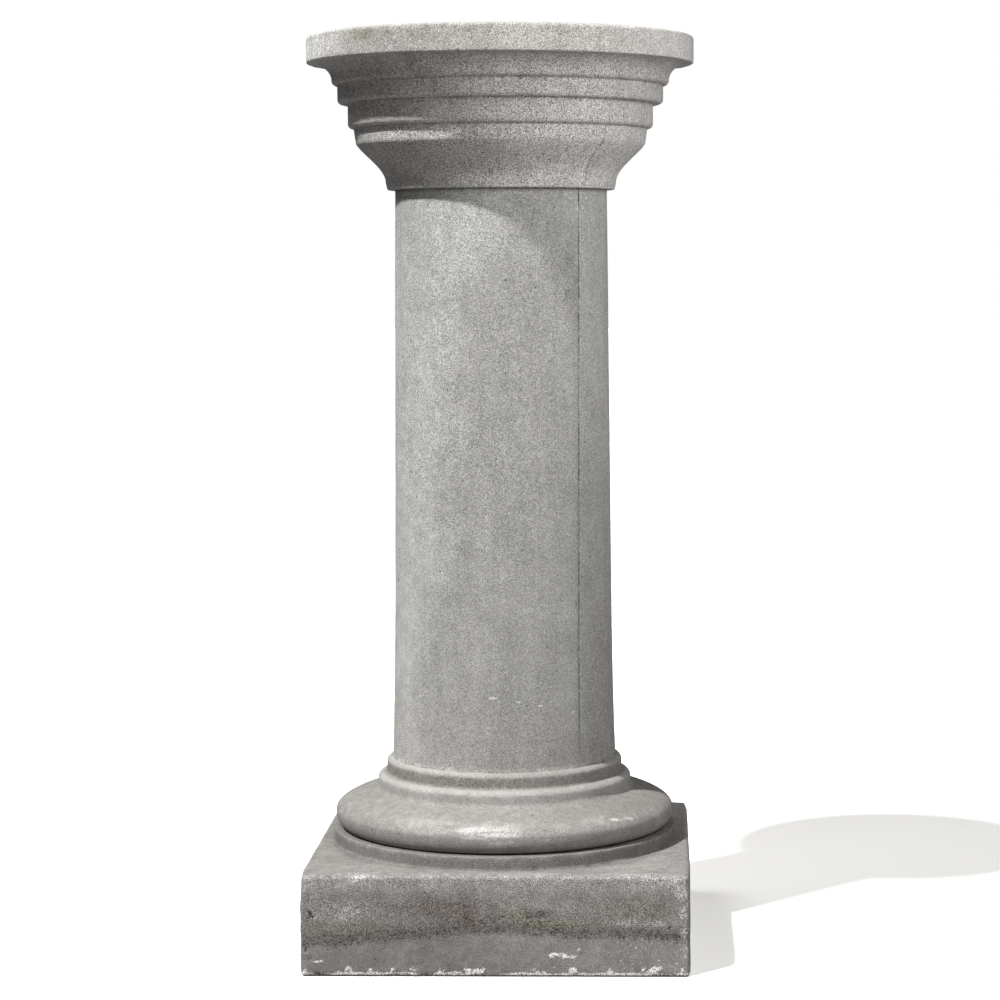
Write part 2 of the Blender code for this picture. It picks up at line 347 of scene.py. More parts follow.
def seamFields(grid, look):
    # The line where the two halves of the mould met, open as a fine groove with a sharp edge beside it.
    facing, level = facingOf(grid), grid[:, :, 2] / mm
    radius = np.hypot(grid[:, :, 0], grid[:, :, 1]) / mm
    wanted = np.interp(level, *zip(*look["seam"]))
    groove, lip = np.zeros(grid.shape[:2]), np.zeros(grid.shape[:2])
    for turned in (0, 180):
        away = np.radians((facing - wanted - turned + 180) % 360 - 180) * radius
        groove += np.exp(-(away / 1.25) ** 2)
        lip += np.exp(-((away - 2.2) / 0.8) ** 2)
    present = np.clip(0.95 + 0.4 * noiseField(grid * (0, 0, 1), 45, look["seed"]), 0.6, 1)
    present *= np.interp(level, *zip(*look["seamDark"]))
    return groove * present, lip * present


def makeTurned(look, outline, stillRows):
    seamsNear = (47, 227)                  # about where the mould seams run
    grid = turnGrid(outline, look["columns"], seamsNear)
    bulge = bulgeOf(outline, 3.5)
    edge = np.repeat(smooth(bulge, 0.5, 1.6)[:, None], look["columns"], 1)
    hollow = np.repeat(smooth(-bulge, 0.5, 2.0)[:, None], look["columns"], 1)
    still = np.repeat(stillRows[:, None].astype(float), look["columns"], 1)
    depth, masks = ageGrid(grid, look, edge, hollow, still, None)
    groove, lip = seamFields(grid, look)
    depth += 0.8 * groove * (1 - still)
    masks["seam"] = groove
    addStain(masks, "worn", lip * 0.3)
    upward = np.clip(gridNormals(grid)[:, :, 2], 0, 1)
    facing = facingOf(grid)
    farSide = smooth(facing, 45, 49) * smooth(facing, 200, 150)
    masks["sleek"] = np.maximum(smooth(upward, 0.2, 0.8), look["sleekSide"] * farSide)
    return grid, depth, masks


# Column

column = {
    "foot": 131.5, "footRadius": 185.4,
    "torusRadius": 197.4, "torusHeight": 19.3, "torusTop": 23.7, "torusSweep": 44.0,
    "neck": 7.8,
    "lowerFillet": 147.9, "lowerFace": 5.4, "lowerRound": 7.3,
    "upperFillet": 137.6, "upperFace": 12.2, "upperRound": 5.6,
    "flare": 2.4, "flareHeight": 190.0,
    "shaftFoot": 128.1, "shaftHead": 122.4, "shaftHeight": 657.5,
    "columns": 384, "cellSize": 5.0,       # spacing of the mesh, round and up
    "relief": [(90, 0.4), (22, 0.25), (6, 0.2)],       # hollows: size across, depth
    "arrisWear": 0.4, "chipDepth": 0.5, "whitened": 0.12,
    "strayMarks": 70, "markReach": 0,
    "colours": {"dark": "#424240", "stone": "#878682", "pale": "#bbbab7"},
    "patterns": [(120, 0.1, "clouds"), (30, 0.08, "clouds"), (12, 0.1, "streaks")],
    "speckle": 0.42, "bump": 0.7,
    "seam": [(240, 45.0), (850, 48.7)],    # mould seam: level, facing
    "seamDark": [(131, 0), (150, 0.2), (180, 0), (235, 0.1), (260, 0.7), (700, 0.85), (760, 1.0),
                 (870, 1.0)],
    "sleekSide": 0.2,
    "seed": 11, "strayLevels": (180, 860),
    "shaftStart": (206, 222),              # where the base mouldings' weathering gives way to the shaft's
    # painted light on the shaft's left side: strength and width of its edge; then a faint paler far side
    "paleStrength": 0.48, "paleBlend": 11, "farSidePale": 0.1,
    "limitPaintedShade": 0.2,                     # painted shade along the edge of the painted light
    "lowDarkening": 0.26, "lowBrownDarkening": 0.2,     # beyond the seam, darker towards the bottom
    "baseEarth": 0.14,
    "torusGrime": (0.12, 0.4),             # on its side, and added on its top
    "filletGrime": 0.4, "filletPale": 0.1,
    # Dust on the mouldings: level, amount
    "dust": [(131, 0.3), (150, 0.35), (174, 0.4), (180, 0.6), (182.5, 0.1), (194, 0.0), (195.5, 1.3),
             (206, 1.3), (208.5, 0.3), (216, 0.0)],
    # The painted light on the shaft's left side ends on this line: level, facing
    "paleLimit": [(245, -45), (278, -43.4), (365, -40), (480, -30), (565, -24.5), (740, -19),
                  (800, -5), (860, 8)],
    # kind, facing, across, level, half width, half height, slant, strength, depth
    "marks": [
        ("grime", -22, 0, 600, 30, 150, 0, 0.25, 0),
        ("grime", -14, 0, 420, 24, 120, 3, 0.2, 0),
        ("grime", 30, 0, 800, 16, 50, 0, 0.3, 0),
        ("grime", 42, 0, 770, 12, 70, 0, 0.4, 0),
        ("lime", 48, 0, 848, 2.2, 8, 0, 0.6, -0.3),
        ("lime", 55, 0, 861, 4, 3, -30, 0.6, -0.3),
        ("lime", -2, 0, 298, 7, 2.6, 5, 0.62, 0.2),
        ("lime", 11, 0, 291, 7, 2.2, -10, 0.58, 0.2),
        ("lime", 22, 0, 286, 8, 2.4, 0, 0.64, 0.2),
        ("lime", 41, 0, 278, 3, 4, 10, 0.66, 0.3),
        ("pit", -65, 0, 494, 2.0, 2.6, 0, 0.8, 0.8),
        ("pit", -35, 0, 495, 1.8, 2.0, 0, 0.7, 0.7),
        ("pit", -71, 0, 421, 2.0, 2.6, 0, 0.8, 0.8),
        ("pit", -48, 0, 521, 1.8, 2.0, 0, 0.7, 0.7),
        ("pit", -58, 0, 560, 1.6, 1.8, 0, 0.6, 0.6),
        ("pit", -42, 0, 604, 1.6, 1.8, 0, 0.6, 0.6),
        ("worn", -6, 0, 160, 30, 2.6, 2, 0.8, 0.1),
        ("worn", 2, 0, 155, 26, 2.2, -2, 0.9, 0.1),
        ("worn", -8, 0, 151, 20, 2.0, 2, 0.6, 0.1),
        ("worn", -16, 0, 165, 16, 2.0, 0, 0.7, 0.1),
        ("worn", 1, 0, 145, 12, 2.0, 0, 0.7, 0.1),
        ("bleached", -24, 0, 160, 40, 9, 0, 0.25, 0),
        ("bleached", -2, 0, 158, 38, 8, 0, 0.5, 0),
        ("bleached", 30, 0, 160, 50, 6, 0, 0.2, 0),
        ("worn", 44, 0, 161, 8, 1.4, -8, 1.0, 0.3),
        ("worn", 50, 0, 160, 8, 1.4, -8, 1.0, 0.3),
        ("pit", 11, 0, 176, 1.6, 1.0, 0, 0.8, 0.5),
        ("pit", 14, 0, 171, 1.6, 1.0, 0, 0.8, 0.5),
        ("worn", 5, 0, 147, 4, 2.2, 0, 0.8, 0.2),
        ("worn", 17, 0, 148, 3, 2.2, 0, 1.0, 0.2),
        ("grime", 30, 0, 165, 60, 6, 0, 0.2, 0),
    ],
}


def columnOutline(look):
    gap = 2.5
    widest = look["foot"] + look["torusHeight"]
    shoulder = look["lowerFillet"] + look["neck"]
    sweep = math.radians(look["torusSweep"])
    run = (look["torusRadius"] - shoulder) / (1 - math.cos(sweep))
    rise = look["torusTop"] / math.sin(sweep)
    under = look["torusRadius"] - look["footRadius"]
    points = spaceOut([(12, look["foot"]), (150, look["foot"])], 34).tolist()
    points += [(170, look["foot"]), (180, look["foot"])]
    points += arcSteps(look["footRadius"], widest, under, look["torusHeight"], -90, 0, gap)
    points += arcSteps(look["torusRadius"] - run, widest, run, rise, 0, look["torusSweep"], gap)
    level = widest + look["torusTop"] + look["neck"]
    points += arcSteps(shoulder, level, look["neck"], look["neck"], 270, 180, 1)
    for radius, face, inner, rounding in (
            (look["lowerFillet"], look["lowerFace"], look["upperFillet"], look["lowerRound"]),
            (look["upperFillet"], look["upperFace"], look["shaftFoot"] + look["flare"], look["upperRound"])):
        points += [(radius, level), (radius, level + face)]
        level += face
        points += arcSteps(inner, level, radius - inner, rounding, 0, 90, 1.6)
        level += rounding
    points = spaceOut(points[:10], 34).tolist() + spaceOut(points[10:], gap).tolist()
    steps = round(look["shaftHeight"] / look["cellSize"])
    for k in range(1, steps + 1):
        height = look["shaftHeight"] * k / steps
        taper = look["shaftFoot"] + (look["shaftHead"] - look["shaftFoot"]) * height / look["shaftHeight"]
        spread = look["flare"] * max(0.0, 1 - height / look["flareHeight"]) ** 2
        points.append((taper + spread, level + height))
    head = level + look["shaftHeight"]
    points += [(look["shaftHead"] - 3, head), (110, head), (60, head), (12, head)]
    return np.array(points)


outline = columnOutline(column)
still = (outline[:, 1] < column["foot"] + 0.01) | (outline[:, 1] > outline[:, 1].max() - 0.05)
grid, depth, masks = makeTurned(column, outline, still)
facing, level = facingOf(grid), grid[:, :, 2] / mm
shaft = smooth(level, *column["shaftStart"])
beyondSeam = smooth(facing, 45, 60)

# Painted light on the shaft's left side, where light falls on it, with painted shade along its ragged edge
limit = np.interp(level, *zip(*column["paleLimit"]))
limit += noiseField(grid, 60, 5) * 12 + noiseField(grid, 24, 6) * 6
blend = column["paleBlend"]
# Painted light: the left side of the shaft is paler where light falls on it.
pale = smooth(facing, limit + blend, limit - blend) * smooth(facing, -170, -130) * shaft
addStain(masks, "bleached", column["paleStrength"] * pale)
addStain(masks, "bleached", column["farSidePale"] * shaft * smooth(facing, 45, 49))
# Painted shade just beyond the edge of the painted light, towards the seam.
edge = smooth(facing, limit - 10, limit + 18) * smooth(facing, 46, 20)
addStain(masks, "grime", column["limitPaintedShade"] * edge * shaft)
# Beyond the seam the shaft gets darker and browner towards the bottom.
addStain(masks, "grime", column["lowDarkening"] * beyondSeam * smooth(level, 520, 250) * shaft)
addStain(masks, "earth", column["lowBrownDarkening"] * beyondSeam * smooth(level, 560, 250) * shaft)
addStain(masks, "earth", column["baseEarth"] * smooth(level, 330, 210))
addStain(masks, "sleek", (0.45 + 0.45 * smooth(level, 600, 350)) * pale)
addStain(masks, "sleek", 0.85 * (1 - shaft))
addStain(masks, "sleek", 0.3 * smooth(level, 560, 400) * shaft)

# The base mouldings: dust on the faces, grime on the torus, the lower fillet rubbed pale
masks["dust"] = np.interp(level, *zip(*column["dust"]))
upward = smooth(gridNormals(grid)[:, :, 2], 0.1, 0.7)
onSide, onTop = column["torusGrime"]
addStain(masks, "grime", (onSide + onTop * upward) * smooth(level, 180, 174))
addStain(masks, "grime", column["filletGrime"] * smooth(level, 194.5, 195.5) * smooth(level, 208, 205))
addStain(masks, "bleached", column["filletPale"] * smooth(level, 181, 183) * smooth(level, 195, 193))
columnPiece = buildPiece("weathered_column", grid, depth, masks,
                         castStone("columnCastStoneRainWashedWithPaintedLight", column))

# Capital

capital = {
    "foot": 870.6, "necking": 131.6, "neckingArris": 1.5,
    "neckingHeight": 7.7, "neckingFlare": 1.3,
    "cyma": 39.0, "cymaHeight": 58.5, "cymaShare": 0.76,   # the face cuts off the top of the S-curve
    "faceHeight": 17.74, "faceLean": 2.7,
    "bands": [(175.8, 27.8), (187.5, 21.0)], "bandArris": 5.0,
    "lip": 6.5, "lipHeight": 4.8,
    "cavetto": 21.5, "cavettoHeight": 20.0,
    "slabRadius": 222.5, "slabHeight": 31.2, "slabFootArris": 2.0, "slabTopArris": 3.5,
    "columns": 480, "cellSize": 2.4,
    "relief": [(80, 0.35), (18, 0.25), (5, 0.25)],
    "arrisWear": 0.35, "chipDepth": 0.4, "whitened": 0.3,
    "strayMarks": 60, "markReach": 0,
    "colours": {"dark": "#413f3d", "stone": "#93908d", "pale": "#cecbc8"},
    "patterns": [(110, 0.1, "clouds"), (30, 0.1, "clouds"), (12, 0.07, "streaks")],
    "speckle": 0.62, "bump": 0.8,
    "seam": [(870, 48.5), (884, 48.7), (905, 45.9), (915, 46.7), (940, 47.1), (955, 46.0),
             (1045, 52.0)],            # mould seam: level, facing
    "seamDark": [(870, 0.3), (880, 0.5), (905, 0.6), (940, 0.7), (950, 0.25), (1045, 0.25)],
    "sleekSide": 0.2,
    "seed": 23, "strayLevels": (880, 1035),
    "slabStart": (1013, 1016),
    # painted light: the slab's left and right ends where light falls on them, and the cyma's front
    "leftPale": 1.3, "rightPale": 0.4, "faintPale": 0.02, "cymaPale": 0.14, "slabMoss": 0.15,
    # Painted shade under the slab's overhang on the upper mouldings: level, amount
    "grime": [(945, 0), (968, 0.04), (972, 0.2), (988, 0.24), (995, 0.3), (1012, 0.3), (1016, 0.16)],
    "marks": [
        ("moss", -38, 0, 1036, 40, 8, 0, 0.75, 0),
        ("moss", -20, 0, 1034, 30, 6, 0, 0.6, 0),
        ("moss", 20, 0, 1036, 26, 7, 0, 0.55, 0),
        ("moss", 95, 0, 1034, 60, 8, 0, 0.5, 0),
        ("moss", 190, 0, 1034, 80, 9, 0, 0.6, 0),
        ("worn", 44.4, 0, 900, 1.8, 16, 14, 0.5, 0),
        # painted light: the lit strip where the key light reaches the cyma under the bands
        ("bleached", -34, 0, 929, 80, 8, 0, 0.9, 0),
        ("worn", -34, 0, 929, 70, 7, 0, 0.35, 0),
        ("moss", 50, 0, 897, 12, 20, 10, 0.3, 0),
        ("earth", -25, 0, 1003, 14, 18, 0, 0.35, 0),
        ("grime", -8, 0, 900, 60, 20, 0, 0.25, 0),
    ],
}


def capitalOutline(look):
    gap = look["cellSize"]
    level = look["foot"]
    radius = look["necking"]
    arris = look["neckingArris"]
    points = [(12, level), (60, level), (100, level), (122, level), (126, level)]
    hidden = len(points)
    points += arcSteps(radius - arris, level + arris, arris, arris, -90, 0, gap)
    radius += look["neckingFlare"]
    level += look["neckingHeight"]
    for k in range(29):
        share = look["cymaShare"] * k / 28
        swell = 0.5 - 0.5 * math.cos(math.pi * share)
        points.append((radius + look["cyma"] * swell, level + look["cymaHeight"] * share))
    radius, level = points[-1]
    radius += look["faceLean"]
    level += look["faceHeight"]
    points.append((radius, level))
    for bandRadius, height in look["bands"]:
        arris = min(look["bandArris"], bandRadius - radius)
        radius = bandRadius
        points += arcSteps(radius - arris, level + arris, arris, arris, -90, 0, 1.4)
        level += height
        points.append((radius, level))
    points += arcSteps(radius, level + look["lipHeight"], look["lip"], look["lipHeight"], -90, 0, 1.4)
    level += look["lipHeight"]
    radius += look["lip"] + look["cavetto"]
    points += arcSteps(radius, level, look["cavetto"], look["cavettoHeight"], 180, 90, gap)
    level += look["cavettoHeight"]
    radius = look["slabRadius"]
    arris = look["slabFootArris"]
    points += arcSteps(radius - arris, level + arris, arris, arris, -90, 0, 1)
    level += look["slabHeight"]
    arris = look["slabTopArris"]
    points += arcSteps(radius - arris, level - arris, arris, arris, 0, 90, 1.5)
    outside = spaceOut(points[hidden:], gap).tolist()
    top = spaceOut([outside[-1], (14, level)], 7).tolist()
    return np.array(points[:hidden] + outside + top[1:])


outline = capitalOutline(capital)
still = outline[:, 1] < capital["foot"] + 0.01
grid, depth, masks = makeTurned(capital, outline, still)
facing, level = facingOf(grid), grid[:, :, 2] / mm
left, right = smooth(facing, -40, -65), smooth(facing, 28, 55)
slab = smooth(level, *capital["slabStart"])
# Painted shade: the upper mouldings darken under the slab's overhang.
upper = np.interp(level, *zip(*capital["grime"]))
# Painted light: the slab is paler at its ends, where light falls on them.
pale = capital["faintPale"] + capital["leftPale"] * left + capital["rightPale"] * right
addStain(masks, "bleached", slab * pale)
# Painted light: the cyma is paler, except on its left side.
addStain(masks, "bleached", capital["cymaPale"] * smooth(level, 942, 935) * smooth(facing, -40, -10))
# Painted shade under the slab, not on the left side, laid on with the grime colour.
addStain(masks, "grime", upper * smooth(facing, -60, -35) * (1 - slab * right))
addStain(masks, "moss", capital["slabMoss"] * slab)
addStain(masks, "sleek", slab * (0.4 + 0.1 * left + 0.3 * right))
capitalPiece = buildPiece("weathered_capital", grid, depth, masks,
                          castStone("capitalCastStoneBleachedWithPaintedLight", capital))

# Plinth

plinth = {
    "side": 432.8, "corner": 7.0, "height": 115.7,
    "topArris": 6.5, "footArris": 3.5,
    "discRadius": 199.9, "discTop": 131.2, "discArris": 2.0,
    "cellSize": 2.8,                       # spacing of the mesh
    "relief": [(70, 0.4), (16, 0.35), (5, 0.3)],
    "arrisWear": 0.5, "chipDepth": 1.1, "cornerWear": 2.0, "whitened": 0.35,
    "strayMarks": 60, "markReach": 195,    # marks stay on the faces, which lie further out
    "colours": {"dark": "#413e3b", "stone": "#6b6865", "pale": "#979490"},
    "patterns": [(90, 0.2, "clouds"), (24, 0.2, "clouds"), (9, 0.2, "clouds")],
    "speckle": 0.42, "bump": 0.8,
    "seed": 31, "strayLevels": (8, 108),
    "wornCorner": (42, 4),                 # wear grows between these distances from the top corners
    "lineDepth": 0.8, "lineReach": (9.0, 6.0),   # the soil line's step, and how it fades up and down
    "crustLevels": (8.0, 3.2), "crustGap": (-12, 20),    # lime crust, with a gap: across, half width
    "fleckLevels": (19, 7), "fleckStrength": 0.7, "splashStrength": 0.3,
    "discGrime": 0.6, "upperPale": 0.3, "topPale": 0.15,
    "marks": [
        ("earth", 0, -45, 72, 64, 20, 0, 0.65, 0),
        ("earth", 0, -20, 66, 26, 11, 0, 1.15, 0),
        ("grime", 0, -42, 76, 44, 10, 0, 0.5, 0),
        ("grime", 0, 0, 64, 14, 7, 0, 0.55, 0),
        ("grime", 0, -100, 86, 60, 10, 6, 0.25, 0),
        ("moss", 0, 24, 70, 15, 7, 0, 1.0, 0),
        ("grime", 0, 46, 71, 18, 5, 0, 1.6, 0),
        ("moss", 0, 70, 59, 55, 5.5, -1, 0.8, 0),
        ("moss", 0, 152, 76, 42, 10, 0, 0.75, 0),
        ("grime", 0, 150, 78, 42, 11, 0, 0.4, 0),
        ("bleached", 0, 160, 61, 44, 4, 0, 0.3, 0),
        ("grime", 0, 190, 42, 28, 9, 0, 0.65, 0),
        ("moss", 0, -165, 55, 50, 8, 0, 0.6, 0),
        ("bleached", 0, -172, 73, 40, 13, 0, 0.3, 0),
        ("bleached", 0, 170, 104, 46, 12, 0, 0.3, 0),
        ("lime", 0, -196, 17.5, 6, 1.8, 0, 0.9, -0.4),
        ("lime", 0, 64, 25.5, 5, 3.0, 20, 1.0, -0.8),
        ("lime", 0, 70, 25.6, 5, 2.4, -8, 1.0, -0.8),
        ("lime", 0, 77, 24.2, 5, 2.3, -14, 1.0, -0.8),
        ("lime", 0, 84, 22.8, 5, 2.3, -6, 1.0, -0.8),
        ("lime", 0, 89, 23.4, 3, 2.0, 20, 0.9, -0.6),
        ("lime", 0, 93, 31, 2.2, 3, 30, 0.8, -0.4),
        ("lime", 0, 86, 8, 5, 3.4, 0, 1.0, -0.6),
        ("lime", 0, 176, 8, 5, 5, 0, 1.0, -0.5),
        ("lime", 0, 182, 11, 3, 4, 0, 0.8, -0.4),
        ("worn", 0, 208, 72, 5, 7, 0, 0.7, 0.4),
        ("worn", 0, 209, 50, 4, 9, 0, 0.6, 0.5),
        ("worn", 0, 211, 30, 3, 8, 0, 0.5, 0.4),
        ("worn", 0, 186, 108, 26, 6, 0, 0.5, 0.2),
        ("worn", 0, 206, 96, 7, 8, 0, 0.6, 0.3),
        ("worn", 0, -154, 110, 12, 3, 20, 0.8, 0.2),
        ("worn", 0, -200, 92, 6, 6, 0, 0.2, 0.1),
        ("pit", 0, 193, 56, 2.6, 2.6, 0, 1.0, 1.4),
        ("pit", 0, 9, 67, 2.2, 1.8, 0, 0.9, 0.8),
        ("pit", 0, -204, 70, 2.4, 7, 28, 1.0, 1.0),
        ("pit", 0, -209, 30, 2.6, 5, 0, 0.7, 1.0),
        ("pit", 0, -204, 21, 5, 1.8, 0, 0.7, 1.0),
        ("pit", 0, 40, 68, 6, 2.0, 0, 0.8, 0.6),
        ("earth", 90, 40, 70, 45, 16, 0, 0.6, 0),
        ("moss", 90, -90, 66, 55, 12, 6, 0.6, 0),
        ("moss", 180, 60, 68, 70, 12, 0, 0.7, 0),
        ("earth", 180, -70, 72, 40, 15, 0, 0.5, 0),
        ("moss", 270, -20, 66, 65, 12, 0, 0.7, 0),
        ("earth", 270, 110, 78, 35, 14, 0, 0.4, 0),
    ],
    # The edge of an old soil line round the block: across, level
    "soilLine": [(-215, 37), (-159, 40), (-94, 47), (-33, 51), (5, 54), (50, 51), (105, 47.5),
                 (161, 47.5), (205, 42), (215, 40)],
}


def squareOutline(look):
    # The block's plan with its worn corners, counter-clockwise from the front's left end.
    half, corner = look["side"] / 2, look["corner"]
    flat = half - corner
    spots, ways = [], []
    straight = round(2 * flat / look["cellSize"])
    for k in range(straight):
        spots.append((-flat + 2 * flat * k / straight, -half))
        ways.append((0, -1))
    for k in range(7):
        turn = math.radians(90 * k / 7)
        ways.append((math.sin(turn), -math.cos(turn)))
        spots.append((flat + corner * ways[-1][0], -flat + corner * ways[-1][1]))
    spots, ways = np.array(spots), np.array(ways)
    quarters = [(spots, ways)]
    for _ in range(3):
        spots, ways = quarters[-1]
        quarters.append((np.stack([-spots[:, 1], spots[:, 0]], 1), np.stack([-ways[:, 1], ways[:, 0]], 1)))
    return np.concatenate([q[0] for q in quarters]), np.concatenate([q[1] for q in quarters])


def plinthGrid(look):
    spots, ways = squareOutline(look)
    rings, path = [], []                   # path follows the section at the middle of a side
    half, height = look["side"] / 2, look["height"]

    def addRing(plan, level, reach):
        rings.append(np.column_stack([plan, np.full(len(plan), level)]))
        path.append((reach, level))

    arris = look["footArris"]
    for share in (0.06, 0.4, 0.75, 0.93, 0.97):
        addRing(spots * share, 0, half * share)
    for k in range(5):
        turn = math.radians(90 * k / 4)
        inset = arris * (1 - math.sin(turn))
        addRing(spots - ways * inset, arris * (1 - math.cos(turn)), half - inset)
    arris = look["topArris"]
    steps = round((height - arris - look["footArris"]) / look["cellSize"])
    for k in range(1, steps):
        addRing(spots, look["footArris"] + (height - arris - look["footArris"]) * k / steps, half)
    for k in range(7):
        turn = math.radians(90 * k / 6)
        inset = arris * (1 - math.cos(turn))
        addRing(spots - ways * inset, height - arris + arris * math.sin(turn), half - inset)
    outer = spots - ways * arris
    circle = spots / np.linalg.norm(spots, axis=1)[:, None]
    for k in range(1, 25):
        share = k / 24
        addRing(outer * (1 - share) + circle * look["discRadius"] * share, height,
                (half - arris) * (1 - share) + look["discRadius"] * share)
    arris = look["discArris"]
    rise = look["discTop"] - arris - height
    for k in range(1, 6):
        addRing(circle * look["discRadius"], height + rise * k / 5, look["discRadius"])
    for k in range(1, 5):
        turn = math.radians(90 * k / 4)
        reach = look["discRadius"] - arris * (1 - math.cos(turn))
        addRing(circle * reach, look["discTop"] - arris + arris * math.sin(turn), reach)
    for reach in (195, 192, 189, 186, 183, 175, 120, 60, 14):
        addRing(circle * reach, look["discTop"], reach)
    return np.array(rings) * mm, np.array(path, float)


grid, path = plinthGrid(plinth)
spots, ways = squareOutline(plinth)
bulge = bulgeOf(path, 4.0)
cornerBulge = bulgeOf(spots, 5.0, closed=True)
onSide = ((path[:, 1] > 2) & (path[:, 1] < 113) & (path[:, 0] > 205)).astype(float)
cornerEdge = onSide[:, None] * smooth(cornerBulge, 0.3, 1.0)[None]
edge = np.maximum(smooth(bulge, 0.5, 1.6)[:, None], cornerEdge)
hollow = np.repeat(smooth(-bulge, 0.5, 2.0)[:, None], len(spots), 1)
still = np.repeat((path[:, 1] < 0.01)[:, None].astype(float), len(spots), 1)
depth, masks = ageGrid(grid, plinth, edge, hollow, still, (90, 180, 270))
reach = plinth["side"] / 2 * mm
away = np.sqrt((reach - abs(grid[:, :, 0])) ** 2 + (reach - abs(grid[:, :, 1])) ** 2
               + (plinth["height"] * mm - grid[:, :, 2]) ** 2) / mm
depth += plinth["cornerWear"] * smooth(away, *plinth["wornCorner"]) * (1 - still)

# The soil line, a soft dark step with the stone smoother and greyer under it
turns = np.round(facingOf(grid) / 90) * 90
acrossFace = grid[:, :, 0] * np.cos(np.radians(turns)) + grid[:, :, 1] * np.sin(np.radians(turns))
acrossFace = acrossFace / mm
onFront = turns == 0
lineLevel = np.interp(acrossFace, *zip(*plinth["soilLine"])) + noiseField(grid, 40, 60) * 2.5
above = grid[:, :, 2] / mm - lineLevel
sideRows = onSide[:, None] * np.ones_like(above)
dip = np.exp(-(above / np.where(above > 0, *plinth["lineReach"])) ** 2) * sideRows
depth += dip * plinth["lineDepth"]
addStain(masks, "grime", dip * np.clip(1.4 + 0.7 * noiseField(grid, 45, 71), 0.5, 1.6))

# Lime salts along the foot, in a thin ragged line with a few flecks above it
level = grid[:, :, 2] / mm
crust = smooth(level, *plinth["crustLevels"]) * np.clip(0.8 + 0.7 * noiseField(grid, 30, 83), 0.3, 1)
gapPlace, gapWidth = plinth["crustGap"]
crust *= 1 - 0.9 * np.exp(-((acrossFace - gapPlace) / gapWidth) ** 2) * onFront
scatter = noiseField(grid, 12, 84) + 0.6 * noiseField(grid, 4, 85)
flecks = smooth(level, *plinth["fleckLevels"]) * smooth(scatter, 0.1, 0.5)
splashes = smooth(acrossFace, 60, 150) * smooth(-above, 0, 6) * onFront
otherSides = 0.8 * (turns != 0) * smooth(noiseField(grid, 80, 86), 0, 0.4) * smooth(-above, 0, 6)
splashes = np.maximum(splashes, otherSides)
addStain(masks, "lime", crust * sideRows)
addStain(masks, "lime", plinth["fleckStrength"] * flecks * sideRows)
addStain(masks, "lime", plinth["splashStrength"] * splashes * sideRows)

# The top, with grime on the disc and a paler right-hand end
across = grid[:, :, 0] / mm
upward = np.clip(gridNormals(grid)[:, :, 2], 0, 1)
disc = smooth(np.hypot(grid[:, :, 0], grid[:, :, 1]) / mm, 201, 199.5)
addStain(masks, "bleached", sideRows * smooth(level, 88, 104) * plinth["upperPale"])
addStain(masks, "grime", disc * plinth["discGrime"])
masks["worn"] *= 1 - 0.6 * disc
masks["worn"] *= 1 - 0.7 * sideRows * smooth(across, -150, -200)
addStain(masks, "bleached", plinth["topPale"] * upward * (1 - disc) * smooth(across, 60, 170))
masks["sleek"] = np.maximum(0.5 * smooth(upward, 0.3, 0.9), 0.7 * disc)
addStain(masks, "sleek", 0.25 * smooth(-above, 0, 8) * sideRows)
coarse = sideRows * smooth(above, 3, 12) * smooth(level, 98, 82)
masks["sleek"] -= coarse                   # the grain is coarsest where it is stained
plinthPiece = buildPiece("weathered_plinth", grid, depth, masks,
                         castStone("plinthCastStoneStained", plinth))

for piece, node, slot in ((columnPiece, "column", "column_stone"),
                          (capitalPiece, "capital", "capital_stone"),
                          (plinthPiece, "plinth", "plinth_stone")):
    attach(piece, "root")
    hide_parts(node)

# Floor, light and camera

studio = {
    "floorSize": 60.0, "floorColour": "#e6e5e2", "floorGlow": 0.45,
    "lamps": {
        "key": {"facing": -45, "elevation": 55.5, "angle": 2.2, "power": 6.2},
        "sky": {"facing": -98, "elevation": 60, "distance": 3.6, "size": 2.2, "power": 86},
        "side": {"facing": 48, "elevation": 22, "distance": 1.5, "size": 0.8, "power": 13},
        "near": {"facing": 48, "elevation": 4, "distance": 0.95, "size": 0.5, "power": 2.5},
        "front": {"facing": 20, "elevation": 10, "distance": 2.0, "size": 1.0, "power": 7.5},
    },
    "aimHeight": 0.87,
    "fillAbove": 0.01, "fillLeft": 0.2, "fillRight": 0.8,      # from the sky, and back from the ground
}


def makeFloor():
    size = studio["floorSize"] / 2
    mesh = bpy.data.meshes.new("floor")
    mesh.from_pydata([(-size, -size, 0), (size, -size, 0), (size, size, 0), (-size, size, 0)], [],
                     [(0, 1, 2, 3)])
    material = bpy.data.materials.new("floorPaintMatt")
    material.use_nodes = True
    tree = material.node_tree
    place = addNode(tree, "ShaderNodeTexCoord").outputs["Object"]
    cloud = addNode(tree, "ShaderNodeTexNoise", {"Scale": 3.0}, {"Vector": place}).outputs["Fac"]
    rough = addNode(tree, "ShaderNodeMapRange", {3: 0.85, 4: 0.95}, {"Value": cloud}).outputs["Result"]
    shader = tree.nodes["Principled BSDF"]
    tree.links.new(rough, shader.inputs["Roughness"])
    shader.inputs["Base Color"].default_value = linearColour(studio["floorColour"])
    shader.inputs["Specular IOR Level"].default_value = 0.2
    shader.inputs["Emission Color"].default_value = linearColour(studio["floorColour"])
    shader.inputs["Emission Strength"].default_value = studio["floorGlow"]
    mesh.materials.append(material)
    floor = bpy.data.objects.new("floor", mesh)
    bpy.context.scene.collection.objects.link(floor)
    floor.visible_diffuse = False          # a white floor must not light the mouldings from below
    floor.visible_glossy = False


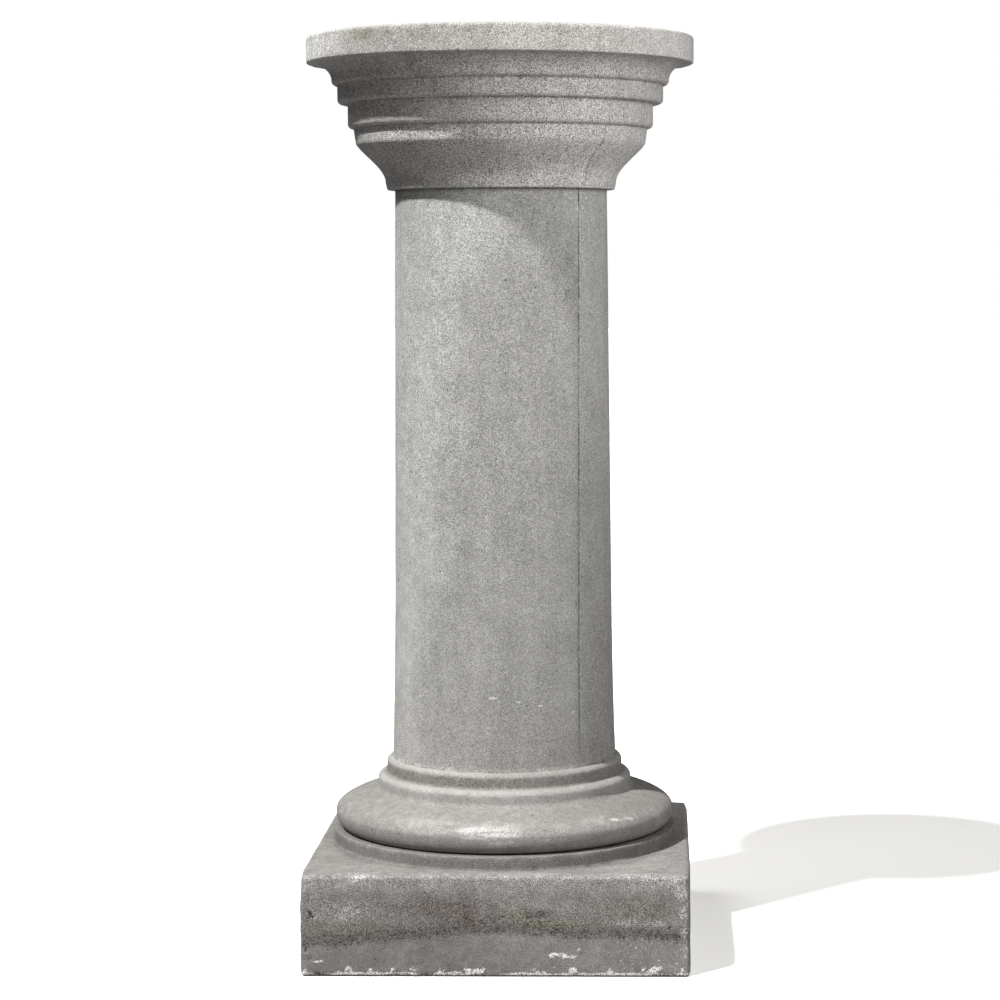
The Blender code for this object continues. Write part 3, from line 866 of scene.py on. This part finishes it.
def makeLamp(name, lamp):
    turn, lift = math.radians(lamp["facing"]), math.radians(lamp["elevation"])
    target = Vector((0, 0, studio["aimHeight"]))
    way = Vector((math.sin(turn) * math.cos(lift), -math.cos(turn) * math.cos(lift), math.sin(lift)))
    if "angle" in lamp:
        data = bpy.data.lights.new(name, 'SUN')
        data.angle = math.radians(lamp["angle"])
    else:
        data = bpy.data.lights.new(name, 'AREA')
        data.shape = 'DISK'
        data.size = lamp["size"]
    data.energy = lamp["power"]
    light = bpy.data.objects.new(name, data)
    light.visible_camera = False
    light.location = target + way * lamp.get("distance", 5.0)
    light.rotation_euler = way.to_track_quat('Z', 'Y').to_euler()
    bpy.context.scene.collection.objects.link(light)


def makeWorld():
    world = bpy.data.worlds.new("studio")
    world.use_nodes = True
    tree = world.node_tree
    tree.nodes.clear()
    seen = addNode(tree, "ShaderNodeBackground", {"Color": (1, 1, 1, 1), "Strength": 1.0}).outputs[0]
    way = addNode(tree, "ShaderNodeTexCoord").outputs["Generated"]
    axes = addNode(tree, "ShaderNodeSeparateXYZ", {}, {"Vector": way}).outputs
    below = addNode(tree, "ShaderNodeMapRange",
                    {1: -1.0, 2: 1.0, 3: studio["fillLeft"], 4: studio["fillRight"]},
                    {"Value": axes["X"]}).outputs["Result"]
    amount = addNode(tree, "ShaderNodeMapRange", {1: -0.05, 2: 0.05, 4: studio["fillAbove"]},
                     {"Value": axes["Z"], 3: below}).outputs["Result"]
    fill = addNode(tree, "ShaderNodeBackground", {"Color": (1, 1, 1, 1)}, {"Strength": amount}).outputs[0]
    ray = addNode(tree, "ShaderNodeLightPath").outputs["Is Camera Ray"]
    both = addNode(tree, "ShaderNodeMixShader", {}, {0: ray, 1: fill, 2: seen}).outputs[0]
    addNode(tree, "ShaderNodeOutputWorld", {}, {"Surface": both})
    bpy.context.scene.world = world


def makeCamera():
    view = {"distance": 3.2918, "facing": 3.17, "height": 0.7894, "yaw": 1.216, "pitch": 4.84,
            "roll": -0.18, "lens": 101.91, "shift": -0.0992}
    data = bpy.data.cameras.new("camera")
    data.lens = view["lens"]
    data.sensor_width = 36.0
    data.shift_x = view["shift"]
    data.clip_end = 200.0
    camera = bpy.data.objects.new("camera", data)
    turn = math.radians(view["facing"])
    away = view["distance"]
    spot = Matrix.Translation((away * math.sin(turn), -away * math.cos(turn), view["height"]))
    aim = (Matrix.Rotation(math.radians(view["yaw"]), 4, 'Z')
           @ Matrix.Rotation(math.radians(90 - view["pitch"]), 4, 'X')
           @ Matrix.Rotation(math.radians(view["roll"]), 4, 'Z'))
    camera.matrix_world = spot @ aim
    bpy.context.scene.collection.objects.link(camera)
    bpy.context.scene.camera = camera


makeFloor()
for name, lamp in studio["lamps"].items():
    makeLamp(name, lamp)
makeWorld()
makeCamera()
bpy.context.scene.view_settings.view_transform = 'Standard'
print("floor, light and camera set")
